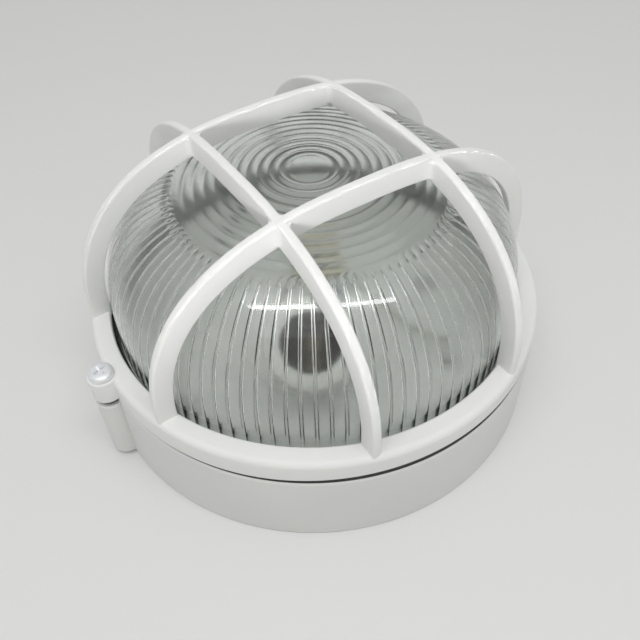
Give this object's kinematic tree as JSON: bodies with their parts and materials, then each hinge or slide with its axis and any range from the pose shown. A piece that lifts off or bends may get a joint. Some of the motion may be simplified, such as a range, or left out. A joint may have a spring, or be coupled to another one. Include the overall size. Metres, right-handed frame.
{
  "type": "bulkhead light",
  "caption": "Round guarded bulkhead light: cast body, ribbed glass dome, arched bar guard on screw lugs, lampholder inside.",
  "frame": {"origin": "centre of the body's flat back, which lies on the wall", "axes": "+Z away from the wall through the glass, +X through the two guard screw lugs"},
  "size_m": [0.2284, 0.2202, 0.1265],
  "materials": {
    "white_enamel": "satin white powder coat",
    "clear_glass": "clear pressed glass, polished",
    "black_rubber": "matt",
    "zinc_steel": "bright zinc plate",
    "brass": "rolled",
    "porcelain": "gloss glaze",
    "ivory_nylon": "moulded",
    "white_plastic": "moulded",
    "brown_insulation": "extruded",
    "blue_insulation": "extruded",
    "green_insulation": "extruded"
  },
  "bodies": {
    "root": {"base_body": "white_enamel", "guard": "white_enamel", "glass_dome": "clear_glass", "gasket": "black_rubber", "guard_screw_left": "zinc_steel", "guard_screw_right": "zinc_steel", "screw_retainer_left": "black_rubber", "screw_retainer_right": "black_rubber", "lampholder_body": "porcelain", "lamp_shell": "brass", "centre_contact": "brass", "holder_terminal_live": "brass", "holder_terminal_neutral": "brass", "holder_terminal_screw_live": "zinc_steel", "holder_terminal_screw_neutral": "zinc_steel", "holder_bracket": "zinc_steel", "bracket_screw_a": "zinc_steel", "bracket_screw_b": "zinc_steel", "holder_fixing_screw_a": "zinc_steel", "holder_fixing_screw_b": "zinc_steel", "terminal_block": "ivory_nylon", "block_tube_live": "brass", "block_tube_neutral": "brass", "block_tube_earth": "brass", "block_screw_live_in": "zinc_steel", "block_screw_live_out": "zinc_steel", "block_screw_neutral_in": "zinc_steel", "block_screw_neutral_out": "zinc_steel", "block_screw_earth_in": "zinc_steel", "block_screw_earth_out": "zinc_steel", "block_fixing_screw_a": "zinc_steel", "block_fixing_screw_b": "zinc_steel", "live_wire": "brown_insulation", "neutral_wire": "blue_insulation", "earth_wire": "green_insulation", "earth_screw": "zinc_steel", "earth_washer": "brass", "entry_nut": "white_plastic", "entry_washer": "zinc_steel", "entry_seal": "black_rubber", "fixing_grommet_left": "black_rubber", "fixing_grommet_right": "black_rubber"}
  },
  "joints": []
}
